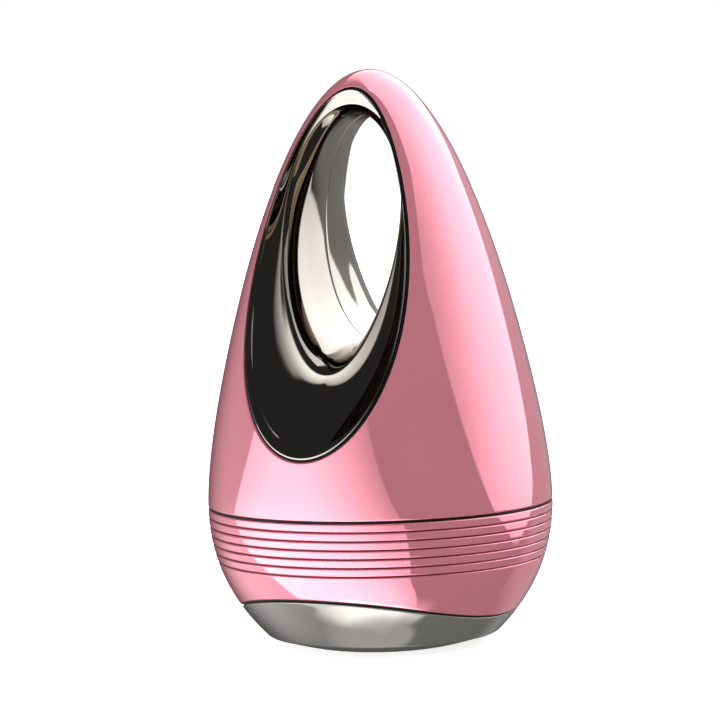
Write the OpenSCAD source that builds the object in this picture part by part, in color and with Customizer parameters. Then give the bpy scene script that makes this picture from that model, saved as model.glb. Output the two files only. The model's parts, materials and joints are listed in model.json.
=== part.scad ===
// Handheld microcurrent facial device: an egg-shaped body with a finger loop through its top
// and a polished treatment plate under its base. It stands on the plate, +Z up, front to -Y.

/* [Body] */
// Height from the resting face to the top of the egg
body_h = 108; // [106.5:0.5:110]
// Radius of the egg at its widest, at the seam between the shells
body_r = 32.5; // [32.2:0.1:34]
// Height of the seam between the upper and the lower shell
seam_z = 26.6; // [26.4:0.1:27]
// How far the shoulder, where the side starts to lean in, lies inside that radius
shoulder_in = 6.5; // [5.9:0.1:6.7]
// Height of the shoulder
shoulder_z = 63.5; // [62.5:0.5:65]
// How far the edge where the side turns into the base lies inside that radius
base_in = 10.6; // [10.1:0.1:11.1]
// Height of that edge
base_z = 2.2; // [1.9:0.1:2.6]
// Radius of the flat face that the device stands on
rest_r = 12; // [10:0.5:15]
// Wall of both shells
shell_wall = 2; // [1.7:0.1:2.2]
// Visible gap at the seam, filled by the seam gasket
seam_gap = 0.5; // [0.3:0.1:0.7]

/* [Grooves] */
// Number of grooves round the lower shell
groove_n = 6; // [1:1:6]
// Distance from one groove to the next
groove_pitch = 1.65; // [1.3:0.05:1.7]
// Distance from the seam to the first groove
groove_start = 1.8; // [1.5:0.1:2]
// Width of a groove at the surface
groove_w = 0.5; // [0.3:0.1:0.8]
// Depth of a groove
groove_d = 0.35; // [0.2:0.05:0.5]

/* [Finger loop] */
// Half width of the finger hole
loop_rx = 10; // [9:0.5:10.5]
// Distance from the window's top edge down to the top of the finger hole
loop_drop = 5.1; // [4.8:0.1:6]
// Distance from the window's lower edge up to the bottom of the finger hole
loop_rise = 19.9; // [19.5:0.1:21]
// Depth from the middle of the hole to where its lip starts to flare
lip_y = 6.4; // [5.5:0.1:7]
// How much shallower the lip starts at the top, and deeper at the bottom
lip_rake = 1.2; // [0.8:0.1:1.4]
// Half width of the window cut in the upper shell
window_rx = 16.1; // [15.8:0.1:16.5]
// Distance from the top of the egg down to the window
window_drop = 3.3; // [3:0.1:3.8]
// Distance from the seam up to the window
window_rise = 10.7; // [10.2:0.1:11]
// How much wider the window is below than above
window_egg = 0.19; // [0.1:0.01:0.22]
// Half width of the ridge where the lip meets the dish
ridge_rx = 12.1; // [11.8:0.1:12.4]
// Distance from the window's top edge down to the top of the ridge
ridge_drop = 3.1; // [2.9:0.1:3.3]
// Distance from the window's lower edge up to the bottom of the ridge
ridge_rise = 15.1; // [14.9:0.1:15.3]
// How much wider the ridge is below than above; under zero it is narrower below
ridge_egg = -0.12; // [-0.16:0.01:-0.08]
// Depth of the ridge from the middle of the hole
ridge_y = 14; // [13.6:0.1:14.3]
// How much shallower the ridge is at the top, and deeper at the bottom
ridge_rake = 6.4; // [6:0.1:6.8]
// Wall of the metal liners
liner_wall = 1.2; // [0.9:0.1:1.4]
// Width of the rubber gasket round each liner
gasket_w = 0.5; // [0.4:0.1:0.7]

/* [Treatment plate] */
// Height of the plate's rim at front and back
rim_z = 11.7; // [11.2:0.1:12]
// How far the rim dips at the two sides
rim_fall = 5.3; // [4:0.1:6]
// Thickness of the plate
plate_wall = 1.2; // [0.9:0.1:1.4]
// Visible gap between the plate and the lower shell
rim_gap = 0.5; // [0.3:0.1:0.7]

/* [Power button] */
// Radius of the power button
button_r = 2.6; // [2.2:0.1:2.7]
// Height of the button's centre above the seam
button_rise = 5.6; // [5.4:0.1:5.9]
// How far the button travels when pressed
button_travel = 0.5; // [0.3:0.1:0.6]
// Width of the light ring round the button
ring_w = 0.8; // [0.6:0.1:0.9]
// Radial running gap of the button and of the switch plunger
slide_gap = 0.08; // [0.04:0.01:0.1]

/* [Charging port] */
// Width of the port's metal shell
port_w = 8.9; // [8.5:0.1:9.2]
// Height of the port's metal shell
port_h = 3.2; // [3:0.1:3.4]
// Length of the port's metal shell
port_l = 7.3; // [6.5:0.1:8]
// Width of the rubber cover
cover_w = 12.4; // [11.5:0.1:13]
// Height of the cover's top edge above its hinge
cover_h = 7.4; // [6.5:0.1:7.6]
// Distance from the seam down to the cover's hinge
hinge_drop = 10; // [9.8:0.1:10.4]
// Radius of the bead that the cover turns on
bead_r = 0.85; // [0.7:0.05:0.9]
// Gap round the cover in its recess
cover_gap = 0.2; // [0.15:0.05:0.3]

/* [Inside] */
// Thickness of the floor of the lower shell
floor_t = 1.4; // [1.2:0.1:1.8]
// Distance from the plate's rim up to the underside of that floor
floor_rise = 0.7; // [0.6:0.1:1.1]
// Distance from the seam down to the main board's underside
board_drop = 9.1; // [9:0.1:9.4]
// Thickness of the main board
board_t = 1.2; // [1:0.1:1.3]
// Distance from the skin at the seam to the edge of the main board
board_in = 7.5; // [6.5:0.5:8.5]
// Distance from the skin at the seam to the battery's sides
battery_side = 18; // [17.8:0.1:19.5]
// Distance from the skin at the seam to the battery's front and back ends
battery_end = 15.5; // [15.3:0.1:17.5]
// Thickness of the battery
battery_t = 8.5; // [7:0.5:9]
// Distance from the skin at the seam to the shell screws
screw_in = 9.5; // [9.3:0.1:9.9]
// Shank radius of a shell screw
screw_r = 1.2; // [1:0.05:1.25]
// Outer radius of the bosses for the shell screws
boss_r = 3; // [2.6:0.1:3]
// Thickness of the mid frame that backs the finger loop
frame_t = 2.4; // [2:0.2:3]

/* [Quality] */
// Facets of a full circle
fine = 96; // [48:12:144]
// Points round each liner
around = 48; // [36:4:64]

/* [Hidden] */

pink = [0.93, 0.55, 0.63];
rose_dark = [0.85, 0.45, 0.54];
chrome = [0.62, 0.59, 0.55];
nickel = [0.58, 0.57, 0.54];
black = [0.08, 0.08, 0.08];
steel = [0.72, 0.73, 0.75];
board_green = [0.1, 0.35, 0.2];
far = 60;
// Smallest gap between pieces that seat on each other, gap between large pieces, gap round screws
touch = 0.02;
part_gap = 0.15;
hole_gap = 0.1;
// How far the gaskets lie under the surface
gasket_sunk = 0.35;
shoulder_r = body_r - shoulder_in;
base_r = body_r - base_in;
floor_z = rim_z + floor_rise;
board_z = seam_z - board_drop;
board_top = board_z + board_t;
board_r = body_r - board_in;
button_z = seam_z + button_rise;
hinge_z = seam_z - hinge_drop;
battery_w = 2 * (body_r - battery_side);
battery_d = 2 * (body_r - battery_end);

// Outline of the egg, from the middle of its base over the widest point to its top
base_lean = 44;
base_pull = 8.6;
seam_pull_low = 10.3;
seam_pull_up = 11.3;
shoulder_lean = 14.7;
shoulder_pull_low = 8.85;
shoulder_pull_up = 13.1;
top_pull = 13;
shoulder_dir = [-sin(shoulder_lean), cos(shoulder_lean)];
base_dir = [cos(base_lean), sin(base_lean)];
rest_p = [rest_r, 0];
base_p = [base_r, base_z];
seam_p = [body_r, seam_z];
shoulder_p = [shoulder_r, shoulder_z];
top_p = [0, body_h];

function bezier(p, t) = pow(1 - t, 3) * p[0] + 3 * pow(1 - t, 2) * t * p[1]
    + 3 * (1 - t) * t * t * p[2] + pow(t, 3) * p[3];
function run(p, n) = [for (i = [1:n]) bezier(p, i / n)];
profile = concat([[0, 0], rest_p],
    run([rest_p, rest_p + [3, 0], base_p - [3, 0.75], base_p], 4),
    run([base_p, base_p + base_pull * base_dir, seam_p - [0, seam_pull_low], seam_p], 10),
    run([seam_p, seam_p + [0, seam_pull_up], shoulder_p - shoulder_pull_low * shoulder_dir,
        shoulder_p], 9),
    run([shoulder_p, shoulder_p + shoulder_pull_up * shoulder_dir, top_p + [top_pull, 0],
        top_p], 14));

// The outline moved inwards by d, each point along its own normal
function inset(d) = [for (i = [0:len(profile) - 1])
    let (a = profile[max(i - 1, 0)], b = profile[min(i + 1, len(profile) - 1)],
        t = i == 0 ? [1, 0] : i == len(profile) - 1 ? [-1, 0] : (b - a) / norm(b - a))
    [max(0, profile[i][0] - d * t[1]), profile[i][1] + d * t[0]]];
heights = [for (i = [1:len(profile) - 1]) [profile[i][1], profile[i][0]]];
function skin_r(z) = lookup(z, heights);
function skin_y(x, z) = sqrt(max(0, pow(skin_r(z), 2) - x * x));

module egg(d = 0) rotate_extrude($fn = fine) polygon(inset(d));
module slab(z0, z1) peg(far, z1 - z0, z0);
module at(x, y, z) translate([x, y, z]) children();
// An upright cylinder of radius r and height h, from z up, at the point p of the plan
module peg(r, h, z = 0, p = [0, 0]) at(p[0], p[1], z) cylinder(r = r, h = h, $fn = fine);
// A cylinder along +Y from y0 to y1
module rod_y(r, y0, y1, x, z) at(x, y0, z) rotate([-90, 0, 0]) cylinder(r = r, h = y1 - y0, $fn = fine);
module block(x0, x1, y0, y1, z0, z1) at(x0, y0, z0) cube([x1 - x0, y1 - y0, z1 - z0]);
// A flat outline in X and Z, carried from y0 to y1
module plate_y(y0, y1) at(0, y1, 0) rotate([90, 0, 0]) linear_extrude(y1 - y0) children();

// Egg-shaped rings in X and Z. The angle runs from the top, a full turn. The window's points are
// shifted towards its top at the sides, so that they lie straight outside those of the ridge.
window_turn = 9.4;
window_low = seam_z + window_rise;
window_high = body_h - window_drop;
window_z = (window_high + window_low) / 2;
window_rz = (window_high - window_low) / 2;
loop_z = window_z + (loop_rise - loop_drop) / 2;
loop_rz = window_rz - (loop_rise + loop_drop) / 2;
ridge_z = window_z + (ridge_rise - ridge_drop) / 2;
ridge_rz = window_rz - (ridge_rise + ridge_drop) / 2;
function ring(rx, rz, z, egg, a) = [rx * sin(a) * (1 - egg * cos(a)), z + rz * cos(a)];
function window_ring(a, less) = ring(window_rx - less, window_rz - less, window_z, window_egg,
    a - window_turn * sin(a));
function loop_ring(a, more) = ring(loop_rx + more, loop_rz + more, loop_z, 0, a);
function ridge_ring(a, more) = ring(ridge_rx + more, ridge_rz + more, ridge_z, ridge_egg, a);
module window_shape(less) polygon([for (i = [0:around - 1]) window_ring(360 * i / around, less)]);
module loop_shape(more) polygon([for (i = [0:around - 1]) loop_ring(360 * i / around, more)]);

// The rim of the treatment plate: a saddle, high at front and back, low at the sides
rim_in = 6.7;
rim_half = body_r - rim_in;
rim_quartic = 0.3;
rim_steps = 28;
function rim(x) = let (s = x / rim_half) rim_z
    - rim_fall * ((1 - rim_quartic) * s * s + rim_quartic * pow(s, 4));
module below_rim(shift) plate_y(-far, far) polygon(concat([[-body_r - 2, -far]],
    [for (i = [-rim_steps:rim_steps]) let (x = (body_r + 2) * i / rim_steps) [x, rim(x) + shift]],
    [[body_r + 2, -far]]));

// Shells
tongue_r = body_r - shell_wall - part_gap;
tongue_t = 1.2;
tongue_up = 1.2;
tongue_down = 3.5;
spigot_t = 1.4;
spigot_l = 2.5;
boss_angles = [-90, 30, 150];
boss_rise = 8.4;
boss_top = seam_z + boss_rise;
screw_pcd_r = body_r - screw_in;
boss_web = 1.6;
screw_top = boss_top - 2;
screw_head_r = 2.1;
screw_head_t = 1.6;
function boss_at(a) = screw_pcd_r * [cos(a), sin(a)];
pad_r = 4.3;
pad_in = 3.6;
pad_y = body_r - pad_in;
ring_r = button_r + slide_gap + ring_w;
board_boss_x = 6.4;
board_boss_r = 1.7;
small_screw_r = 0.7;
small_screw_l = 4;
small_head_r = 1.3;
small_head_t = 0.8;
button_board_in = 4.3;
button_board_y = pad_y - button_board_in;

module groove_cut() for (i = [0:groove_n - 1]) {
    z = seam_z - groove_start - i * groove_pitch;
    rotate_extrude($fn = fine) polygon([[skin_r(z) - groove_d, z],
        [skin_r(z + groove_w) + groove_d, z + groove_w], [skin_r(z - groove_w) + groove_d, z - groove_w]]);
}

module upper_shell() color(pink) difference() {
    union() {
        difference() {
            intersection() {
                egg();
                slab(seam_z + seam_gap / 2, body_h + 1);
            }
            egg(shell_wall);
        }
        intersection() {
            egg(shell_wall / 2);
            union() {
                for (a = boss_angles) peg(boss_r, boss_top - seam_z - seam_gap / 2,
                    seam_z + seam_gap / 2, boss_at(a));
                for (a = boss_angles) rotate([0, 0, a]) block(screw_pcd_r + boss_r - 1, body_r,
                    -boss_web / 2, boss_web / 2, seam_z + tongue_up + part_gap, boss_top);
                rod_y(pad_r, pad_y, body_r, 0, button_z);
                for (x = [-board_boss_x, board_boss_x])
                    rod_y(board_boss_r, button_board_y, body_r, x, button_z);
            }
        }
    }
    plate_y(-far, far) window_shape(0);
    rod_y(ring_r + touch, pad_y - 1, far, 0, button_z);
    for (x = [-board_boss_x, board_boss_x]) rod_y(small_screw_r + touch, button_board_y - 1,
        button_board_y + small_screw_l + 0.5, x, button_z);
    for (a = boss_angles) peg(screw_r + touch, screw_top + 1 - seam_z, seam_z, boss_at(a));
}

// Charging port and its cover, at the back
port_z = board_z + board_t + port_h / 2 + touch;
bead_y = skin_r(hinge_z) - bead_r - 0.05;
recess_in = 2;
recess_y = body_r - recess_in;
recess_drop = 1.2;
recess_top = hinge_z + cover_h + cover_gap;
port_pad_in = 1.9;
port_pad_y = recess_y - port_pad_in;
port_pad_w = 15;
port_edge = 0.15;
port_mouth_y = recess_y - 0.1;
// The nub on the cover's back that enters the port
plug_w = 7;
plug_h = 1.8;
plug_depth = 0.4;
cover_round = 2;
// A cylinder of length w along the hinge
module hinge_rod(r, w) at(-w / 2, bead_y, hinge_z) rotate([0, 90, 0]) cylinder(r = r, h = w, $fn = fine);
// A stadium shape in X and Z with its middle at z
module stadium(w, h, z) union() {
    translate([-w / 2 + h / 2, z - h / 2]) square([w - h, h]);
    for (x = [-1, 1]) translate([x * (w - h) / 2, z]) circle(r = h / 2, $fn = fine);
}
// The cover's face in X and Z: square below, with round top corners
module cover_face(more) union() {
    w = cover_w / 2 + more;
    r = cover_round;
    top = hinge_z + cover_h + more;
    translate([-w, hinge_z]) square([2 * w, cover_h + more - r]);
    translate([-w + r, hinge_z]) square([2 * w - 2 * r, cover_h + more]);
    for (x = [-1, 1]) translate([x * (w - r), top - r]) circle(r = r, $fn = fine);
}

module lower_shell() color(pink) difference() {
    union() {
        difference() {
            intersection() {
                egg();
                slab(0, seam_z - seam_gap / 2);
            }
            egg(shell_wall);
            below_rim(rim_gap / 2);
        }
        difference() {
            intersection() {
                egg(plate_wall + part_gap);
                slab(0, floor_z + 1);
            }
            egg(plate_wall + part_gap + spigot_t);
            below_rim(-spigot_l);
        }
        intersection() {
            egg(shell_wall / 2);
            union() {
                slab(floor_z, floor_z + floor_t);
                difference() {
                    slab(seam_z - tongue_down, seam_z - seam_gap / 2);
                    peg(tongue_r - tongue_t, body_h);
                }
                for (a = boss_angles) peg(boss_r, seam_z - seam_gap / 2 - floor_z, floor_z, boss_at(a));
                block(-port_pad_w / 2, port_pad_w / 2, port_pad_y, far, hinge_z - 1.8, seam_z - 1);
            }
        }
        difference() {
            peg(tongue_r, 1 + tongue_up, seam_z - 1);
            peg(tongue_r - tongue_t, body_h);
        }
        for (p = tray_posts) peg(post_r, board_z - floor_z - 1, floor_z + 1, p);
    }
    groove_cut();
    for (a = boss_angles) peg(screw_r + part_gap, body_h, 0, boss_at(a));
    for (p = tray_posts) peg(tray_screw_r + touch, board_z, post_bore_z, p);
    for (x = [-pin_x, pin_x]) peg(pin_r + part_gap, board_z, 0, [x, 0]);
    plate_y(port_pad_y - 1, far) stadium(port_w + 2 * port_edge, port_h + 2 * port_edge, port_z);
    plate_y(recess_y, far) cover_face(cover_gap);
    block(-cover_w / 2 - cover_gap, cover_w / 2 + cover_gap, recess_y, far,
        hinge_z - recess_drop, hinge_z + 1);
    hinge_rod(bead_r + cover_gap, cover_w + 2 * cover_gap);
}

module seam_gasket() color(black) difference() {
    peg(body_r - gasket_sunk, seam_gap, seam_z - seam_gap / 2);
    peg(tongue_r + touch, body_h);
}

// Liners: a straight tunnel, a lip that flares to the ridge and a dish that runs out to the window.
// At each angle the line through them is two cubic curves that meet in a crease at the ridge: the lip
// comes in at lip_lean from the depth axis, and the dish leaves at dish_lean and ends at edge_lean.
lip_lean = 42;
dish_lean = 88;
edge_lean = 42;
lip_steps = 6;
dish_steps = 8;
lip_pull = 0.38;
// The dish stays flat for longer at its lower left and right, where it is widest
dish_pull_in = 0.3;
dish_pull_more = 0.4;
dish_pull_out = 0.25;
edge_depth = 2.1;
loop_split = 0.1;
function reverse(v) = [for (i = [len(v) - 1:-1:0]) v[i]];
function point_at(q, depth) = [q[0], -depth, q[1]];
function unit(v) = v / max(norm(v), 0.01);
// A direction that leaves the depth axis by the angle g, towards u in X and Z
function lean_to(u, g) = [u[0] * sin(g), -cos(g), u[1] * sin(g)];
function curve(p, q, tp, tq, kp, kq, n) = let (l = norm(q - p))
    run([p, p + kp * l * tp, q - kq * l * tq, q], n);
// The back of the wall lies straight behind the lip and the ridge, and edge behind the rim
function liner_line(a, wall, edge) =
    let (s = loop_ring(a, wall), r0 = ridge_ring(a, 0), e = window_ring(a, gasket_w + touch),
        ds = lip_y - lip_rake * cos(a), dr = ridge_y - ridge_rake * cos(a), de = skin_y(e[0], e[1]),
        lean = (lip_lean + dish_lean) / 2, u = unit(e - loop_ring(a, 0)), r = r0 + wall * cos(lean) * u,
        flat = dish_pull_in + dish_pull_more * max(-cos(a), 0) * abs(sin(a)),
        ps = point_at(s, ds), pr = point_at(r, dr - wall * sin(lean)), pe = point_at(e, de - edge))
    concat([point_at(s, loop_split), ps],
        curve(ps, pr, [0, -1, 0], lean_to(u, lip_lean), lip_pull, lip_pull, lip_steps),
        curve(pr, pe, lean_to(u, dish_lean), lean_to(unit(e - r), edge_lean), flat, dish_pull_out,
            dish_steps));
lines = [for (i = [0:around - 1]) let (a = 360 * i / around)
    concat(liner_line(a, 0, 0), reverse(liner_line(a, liner_wall, edge_depth)))];
module liner() {
    m = len(lines[0]);
    polyhedron([for (l = lines) each l],
        [for (i = [0:around - 1], j = [0:m - 1]) let (i2 = (i + 1) % around, j2 = (j + 1) % m)
            each [[i * m + j, i2 * m + j2, i * m + j2], [i * m + j, i2 * m + j, i2 * m + j2]]]);
}
module front_liner() color(chrome) liner();
module rear_liner() color(chrome) rotate([0, 0, 180]) liner();

module liner_gasket() color(black) intersection() {
    difference() {
        egg(gasket_sunk);
        egg(shell_wall);
    }
    plate_y(-far, -1) difference() {
        window_shape(touch);
        window_shape(gasket_w);
    }
}
module front_liner_gasket() liner_gasket();
module rear_liner_gasket() rotate([0, 0, 180]) liner_gasket();

module treatment_plate() color(nickel) difference() {
    intersection() {
        egg();
        below_rim(-rim_gap / 2);
    }
    egg(plate_wall);
}
module plate_gasket() color(black) difference() {
    intersection() {
        egg(gasket_sunk);
        below_rim(rim_gap / 2);
    }
    egg(plate_wall + part_gap - touch);
    below_rim(-rim_gap / 2);
}

// Power button: a cap with a retaining flange behind the light ring, and a stem to the switch
flange_r = 3.2;
flange_t = 0.7;
stem_r = 1;
button_proud = 0.3;
plunger_in = 1.7;
plunger_tip_y = pad_y - plunger_in;
plunger_r = 0.9;
switch_w = 4.5;
switch_t = 1.6;
plunger_seat = 1;
module power_button() color(pink) union() {
    rod_y(button_r, pad_y - 1, skin_r(button_z) + button_proud, 0, button_z);
    rod_y(flange_r, pad_y - touch - flange_t, pad_y - touch, 0, button_z);
    rod_y(stem_r, plunger_tip_y + touch, pad_y - touch - flange_t / 2, 0, button_z);
}
module indicator_ring() color([0.95, 0.95, 0.97]) intersection() {
    egg();
    difference() {
        rod_y(ring_r, pad_y, far, 0, button_z);
        rod_y(button_r + slide_gap, pad_y - 1, far, 0, button_z);
    }
}
module switch_body() color(black) difference() {
    block(-switch_w / 2, switch_w / 2, button_board_y, button_board_y + switch_t,
        button_z - switch_w / 2, button_z + switch_w / 2);
    rod_y(plunger_r + slide_gap, button_board_y + 0.3, far, 0, button_z);
}
module switch_plunger() color([0.9, 0.85, 0.7])
    rod_y(plunger_r, button_board_y + switch_t - plunger_seat + 0.2, plunger_tip_y, 0, button_z);

module port_cover() color(rose_dark) difference() {
    union() {
        intersection() {
            egg();
            plate_y(recess_y + 0.1, far) cover_face(0);
        }
        hinge_rod(bead_r, cover_w);
        plate_y(port_mouth_y - plug_depth, recess_y + 1) stadium(plug_w, plug_h, port_z);
    }
    groove_cut();
}

// Mid frame: a bulkhead across the egg that backs both liners and holds the battery down
collar_y = 4;
collar_t = 1.3;
frame_hole_r = 4;
frame_hole_x = 9;
module mid_frame() color([0.25, 0.25, 0.27]) difference() {
    union() {
        intersection() {
            egg(shell_wall + part_gap);
            plate_y(-frame_t / 2, frame_t / 2) translate([-far, battery_top + pad_t]) square(2 * far);
        }
        plate_y(-collar_y, collar_y) loop_shape(liner_wall + part_gap + collar_t);
    }
    plate_y(-far, far) loop_shape(liner_wall + part_gap);
    for (x = [-frame_hole_x, frame_hole_x])
        rod_y(frame_hole_r, -far, far, x, (battery_top + loop_z - loop_rz) / 2 - 1);
    for (a = [0, 180]) rotate([0, 0, a]) block(-strip_w / 2 - hole_gap, strip_w / 2 + hole_gap,
        frame_t / 2, frame_t / 2 + strip_t + hole_gap, strip_top - 2 * strip_w, strip_top + 1);
}

// Battery tray on three legs, screwed through the main board into posts of the lower shell
leg_h = 3.7;
tray_t = 1.4;
tray_wall = 1.2;
tray_gap = 0.3;
tray_h = 5.2;
pad_t = 0.5;
tray_z = board_z + board_t + leg_h;
battery_z = tray_z + tray_t + pad_t;
battery_top = battery_z + battery_t;
post_in = 15.5;
post_at = body_r - post_in;
tray_posts = [for (a = [-30, 90, 210]) post_at * [cos(a), sin(a)]];
post_r = 2.2;
leg_r = 3;
tray_screw_r = 0.95;
tray_head_r = 1.85;
tray_head_t = 1.2;
post_bore_z = floor_z + floor_t;
module tray_box(more, z0, z1) block(-battery_w / 2 - more, battery_w / 2 + more,
    -battery_d / 2 - more, battery_d / 2 + more, z0, z1);
module battery_tray() color([0.2, 0.2, 0.22]) difference() {
    union() {
        tray_box(tray_gap + tray_wall, tray_z, tray_z + tray_t + tray_h);
        for (p = tray_posts) peg(leg_r, leg_h + tray_t, board_top, p);
    }
    tray_box(tray_gap, tray_z + tray_t, far);
    for (p = tray_posts) {
        peg(tray_screw_r + hole_gap, far, 0, p);
        peg(tray_head_r + hole_gap, far, tray_z, p);
    }
}
module tray_screws() color(steel) for (p = tray_posts) union() {
    peg(tray_screw_r, tray_z - post_bore_z, post_bore_z + 0.8, p);
    peg(tray_head_r, tray_head_t, tray_z, p);
}
module battery() color([0.72, 0.74, 0.78]) block(-battery_w / 2, battery_w / 2, -battery_d / 2, battery_d / 2,
    battery_z, battery_top);
pad_share = 0.64;
module battery_pads() color(black) for (z = [battery_z - pad_t, battery_top])
    block(-pad_share * battery_w / 2, pad_share * battery_w / 2, -pad_share * battery_d / 2,
        pad_share * battery_d / 2, z, z + pad_t);
lead_r = 0.55;
lead_x = 5.75;
lead_pitch = 2.5;
lead_y = battery_d / 2 + tray_gap + tray_wall + 1;
module battery_leads() color([0.7, 0.1, 0.1]) for (s = [-0.5, 0.5]) {
    x = s * lead_pitch - lead_x;
    top = battery_top + lead_r;
    union() {
        rod_y(lead_r, -lead_y, 3 - battery_d / 2, x, top);
        at(x, -lead_y, top) sphere(r = lead_r, $fn = 32);
        peg(lead_r, top - board_top, board_top, [x, -lead_y]);
    }
}

module main_board() color(board_green) difference() {
    peg(board_r, board_t, board_z);
    for (a = boss_angles) peg(boss_r + 0.4, body_h, 0, boss_at(a));
    for (p = tray_posts) peg(tray_screw_r + hole_gap, body_h, 0, p);
}
module charging_port() color(steel) difference() {
    plate_y(port_mouth_y - port_l, port_mouth_y) stadium(port_w, port_h, port_z);
    difference() {
        plate_y(port_mouth_y - port_l + 0.8, far) stadium(port_w - 0.6, port_h - 0.6, port_z);
        block(-3.3, 3.3, 0, port_mouth_y - 1.3, port_z - 0.35, port_z + 0.35);
    }
}
// A square chip and a round part on the board, with their middles at the share p of its radius
module chip(w, d, h, p) at(board_r * p[0] - w / 2, board_r * p[1] - d / 2, board_top) cube([w, d, h]);
module round_part(r, h, p) peg(r, h, board_top, board_r * p);
chip_w = 5;
chip_h = 0.9;
driver_w = 4;
driver_h = 0.8;
module control_chips() color(black) {
    chip(chip_w, chip_w, chip_h, [-0.32, 0.22]);
    chip(driver_w, driver_w, driver_h, [0.24, -0.56]);
}
coil_r = 3;
coil_h = 3;
module boost_coil() color([0.3, 0.3, 0.3]) round_part(coil_r, coil_h, [0.36, 0.2]);
core_w = 9;
core_d = 8;
core_h = 3.3;
module output_transformer() color([0.75, 0.6, 0.2]) chip(core_w, core_d, core_h, [0, -0.08]);
can_r = 1.2;
can_h = 2.6;
small_cap_w = 1.6;
small_cap_d = 0.8;
module capacitors() color([0.6, 0.5, 0.4]) {
    for (x = [-0.36, -0.24]) round_part(can_r, can_h, [x, -0.52]);
    for (x = [-0.448, -0.348, -0.248]) chip(small_cap_w, small_cap_d, small_cap_d, [x, -0.104]);
}
buzzer_r = 2.4;
buzzer_h = 2.2;
module buzzer() color(black) round_part(buzzer_r, buzzer_h, [0.62, 0.22]);

pin_x = 8;
pin_r = 1;
pin_tip_r = 0.6;
pin_shoulder_z = 9;
module plate_contact_pins() color([0.85, 0.7, 0.3]) for (x = [-pin_x, pin_x]) union() {
    peg(pin_r, board_z - pin_shoulder_z, pin_shoulder_z, [x, 0]);
    peg(pin_tip_r, board_z - plate_wall, plate_wall, [x, 0]);
}
// Flat strips that carry the return current from the board up the mid frame to the liners
strip_t = 0.3;
strip_w = 2;
strip_gap = 1.6;
strip_x = battery_w / 2 + tray_gap + tray_wall + strip_gap;
strip_top = loop_z - loop_rz - liner_wall - 0.05;
strip_turn = 6.95;
strip_turn_z = strip_top - strip_turn;
module liner_strip() plate_y(frame_t / 2, frame_t / 2 + strip_t) polygon([
    [strip_x, board_top], [strip_x + strip_w, board_top], [strip_x + strip_w, strip_turn_z],
    [strip_w / 2, strip_top - strip_w], [strip_w / 2, strip_top], [-strip_w / 2, strip_top],
    [-strip_w / 2, strip_top - 2 * strip_w], [strip_x, strip_turn_z - strip_w]]);
module liner_contacts() color([0.8, 0.55, 0.3]) {
    liner_strip();
    rotate([0, 0, 180]) liner_strip();
}

button_board_t = 1;
button_board_w = 17;
button_board_h = 8.3;
button_board_low = button_z - button_board_h / 2;
button_board_high = button_z + button_board_h / 2;
module button_board() color(board_green) difference() {
    block(-button_board_w / 2, button_board_w / 2, button_board_y - button_board_t, button_board_y,
        button_board_low, button_board_high);
    for (x = [-board_boss_x, board_boss_x]) rod_y(small_screw_r + hole_gap, 0, far, x, button_z);
}
module button_board_screws() color(steel) for (x = [-board_boss_x, board_boss_x]) union() {
    face = button_board_y - button_board_t;
    rod_y(small_screw_r, face, button_board_y + small_screw_l, x, button_z);
    rod_y(small_head_r, face - small_head_t, face, x, button_z);
}
led_x = 3.4;
led_w = 1.6;
led_t = 0.6;
module indicator_leds() color([1, 1, 0.85]) for (x = [-led_x, led_x]) block(x - led_w / 2, x + led_w / 2,
    button_board_y, button_board_y + led_t, button_z - led_w / 4, button_z + led_w / 4);
cable_x = 6.8;
cable_w = 3;
cable_t = 0.3;
cable_end = 2.2;
module flat_cable() color([0.8, 0.5, 0.2]) block(-cable_x - cable_w / 2, -cable_x + cable_w / 2,
    button_board_y - button_board_t - cable_t, button_board_y - button_board_t, board_top,
    button_board_low + cable_end);

module shell_screws() color(steel) for (a = boss_angles) union() {
    peg(screw_head_r, screw_head_t, floor_z - screw_head_t, boss_at(a));
    peg(screw_r, screw_top - floor_z, floor_z, boss_at(a));
}

upper_shell();
lower_shell();
seam_gasket();
front_liner();
rear_liner();
front_liner_gasket();
rear_liner_gasket();
treatment_plate();
plate_gasket();
power_button();
indicator_ring();
port_cover();
mid_frame();
battery_tray();
battery();
battery_pads();
battery_leads();
main_board();
charging_port();
control_chips();
boost_coil();
output_transformer();
capacitors();
buzzer();
plate_contact_pins();
liner_contacts();
button_board();
switch_body();
switch_plunger();
indicator_leds();
flat_cable();
shell_screws();
tray_screws();
button_board_screws();
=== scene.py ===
"""Looks of a handheld microcurrent facial device: glossy shells, chrome finger loop, satin plate."""
import json
import bpy
import bmesh
import numpy as np
from mathutils import Matrix, Vector


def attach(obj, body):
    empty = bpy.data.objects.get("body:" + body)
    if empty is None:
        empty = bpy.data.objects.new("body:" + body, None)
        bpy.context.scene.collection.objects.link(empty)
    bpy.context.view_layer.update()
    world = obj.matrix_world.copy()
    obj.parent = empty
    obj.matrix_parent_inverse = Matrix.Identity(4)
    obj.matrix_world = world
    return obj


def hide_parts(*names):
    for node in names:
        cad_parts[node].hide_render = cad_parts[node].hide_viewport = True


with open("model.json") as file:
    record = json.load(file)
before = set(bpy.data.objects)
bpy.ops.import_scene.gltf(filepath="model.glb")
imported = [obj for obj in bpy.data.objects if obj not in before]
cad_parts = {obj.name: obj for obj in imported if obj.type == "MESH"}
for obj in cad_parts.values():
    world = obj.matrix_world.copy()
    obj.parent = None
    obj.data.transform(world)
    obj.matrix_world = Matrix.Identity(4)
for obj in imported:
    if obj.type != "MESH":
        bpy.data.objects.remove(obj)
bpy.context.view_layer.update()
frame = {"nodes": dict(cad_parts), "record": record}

# Sizes of the real object in millimetres, as the CAD has them
BASE_R, CORNER_R, CORNER_Z = 12.0, 21.9, 2.2
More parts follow.
